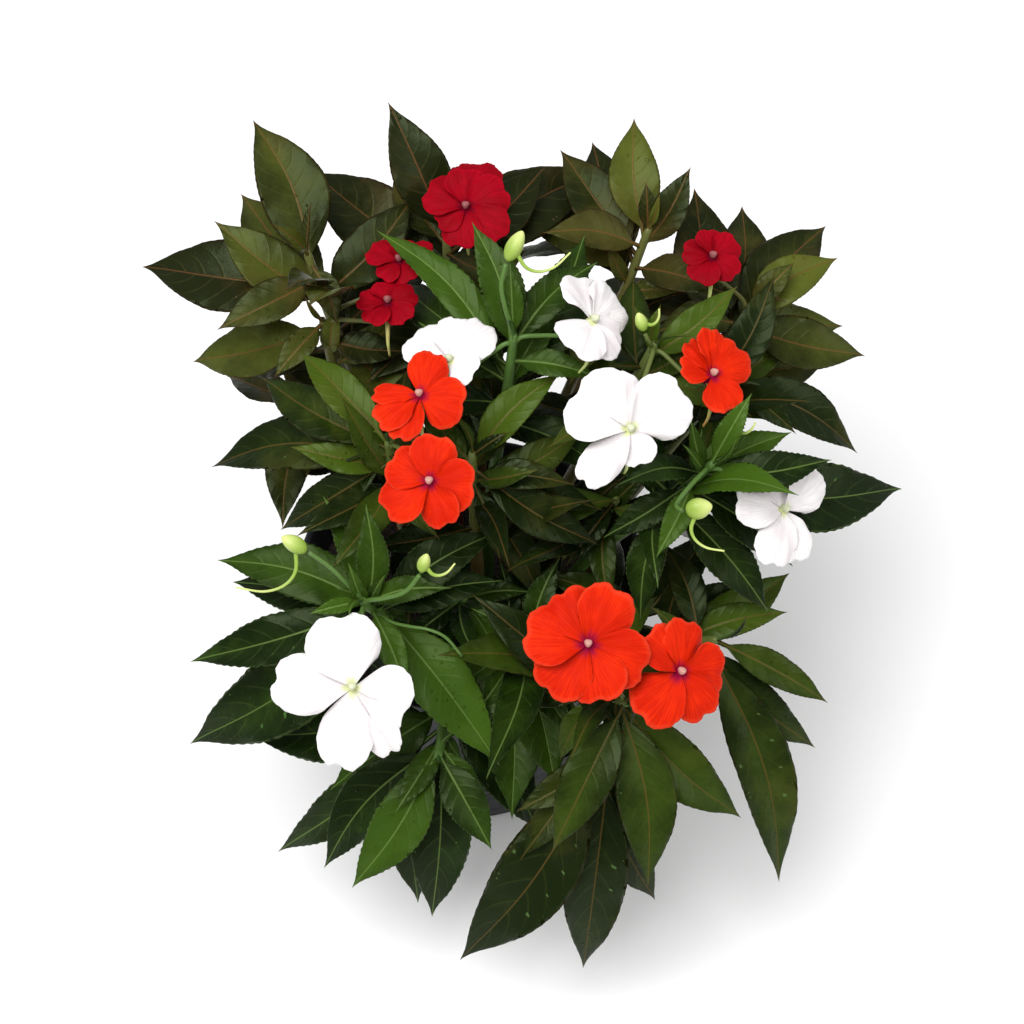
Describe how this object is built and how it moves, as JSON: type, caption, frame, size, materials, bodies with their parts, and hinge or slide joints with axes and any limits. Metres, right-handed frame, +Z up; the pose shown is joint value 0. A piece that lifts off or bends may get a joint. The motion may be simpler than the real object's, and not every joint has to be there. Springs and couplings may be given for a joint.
{
  "type": "potted busy lizzie",
  "caption": "Bushy potted New Guinea impatiens with white, orange and crimson flowers, lance-shaped leaves and a round plastic pot that stands on its base.",
  "frame": {"origin": "centre of the pot's base, on the ground", "axes": "+Z up along the pot's axis; -Y is the plant's front, the side it is seen from; +X to the right as seen from the front"},
  "size_m": [0.3715, 0.3691, 0.3574],
  "materials": {
    "pot_plastic": "matt dark grey plastic",
    "potting_soil": "damp dark soil",
    "white_kind_leaf": "glossy mid green leaf",
    "orange_kind_leaf": "glossy dark green leaf",
    "crimson_kind_leaf": "olive green leaf with a sheen",
    "white_petal": "velvety white petal",
    "orange_petal": "velvety orange petal",
    "crimson_petal": "velvety crimson petal",
    "bud_green": "smooth yellow green bud"
  },
  "bodies": {
    "root": {"pot": "pot_plastic", "soil": "potting_soil", "stem_front_orange": "orange_kind_leaf", "stem_front_low": "orange_kind_leaf", "stem_lower_left": "white_kind_leaf", "stem_front_left": "white_kind_leaf", "stem_right_white": "white_kind_leaf", "stem_right_low": "orange_kind_leaf", "stem_middle": "white_kind_leaf", "stem_left_centre": "white_kind_leaf", "stem_right_centre": "orange_kind_leaf", "stem_left_mid": "orange_kind_leaf", "stem_centre": "orange_kind_leaf", "stem_top_white": "white_kind_leaf", "stem_right_orange": "orange_kind_leaf", "stem_right_edge": "orange_kind_leaf", "stem_back_left": "crimson_kind_leaf", "stem_left_low": "crimson_kind_leaf", "stem_back_top": "crimson_kind_leaf", "stem_back_right": "crimson_kind_leaf", "stem_right_top": "crimson_kind_leaf", "stem_rear_far_left": "crimson_kind_leaf", "stem_rear_left": "crimson_kind_leaf", "stem_rear_middle": "orange_kind_leaf", "stem_rear_right": "crimson_kind_leaf", "stem_rear_far_right": "orange_kind_leaf", "flower_front": "orange_petal", "flower_front_right": "orange_petal", "flower_left": "orange_petal", "flower_upper_left": "orange_petal", "flower_right": "orange_petal", "flower_white_front": "white_petal", "flower_white_centre": "white_petal", "flower_white_right": "white_petal", "flower_white_upper": "white_petal", "flower_white_upper_left": "white_petal", "flower_crimson_upper": "crimson_petal", "flower_crimson_top": "crimson_petal", "flower_crimson_left": "crimson_petal", "flower_crimson_low": "crimson_petal", "flower_crimson_right": "crimson_petal", "bud_top": "bud_green", "bud_left": "bud_green", "bud_middle": "bud_green", "bud_right": "bud_green", "bud_edge": "bud_green", "bud_crimson": "bud_green"}
  },
  "joints": []
}
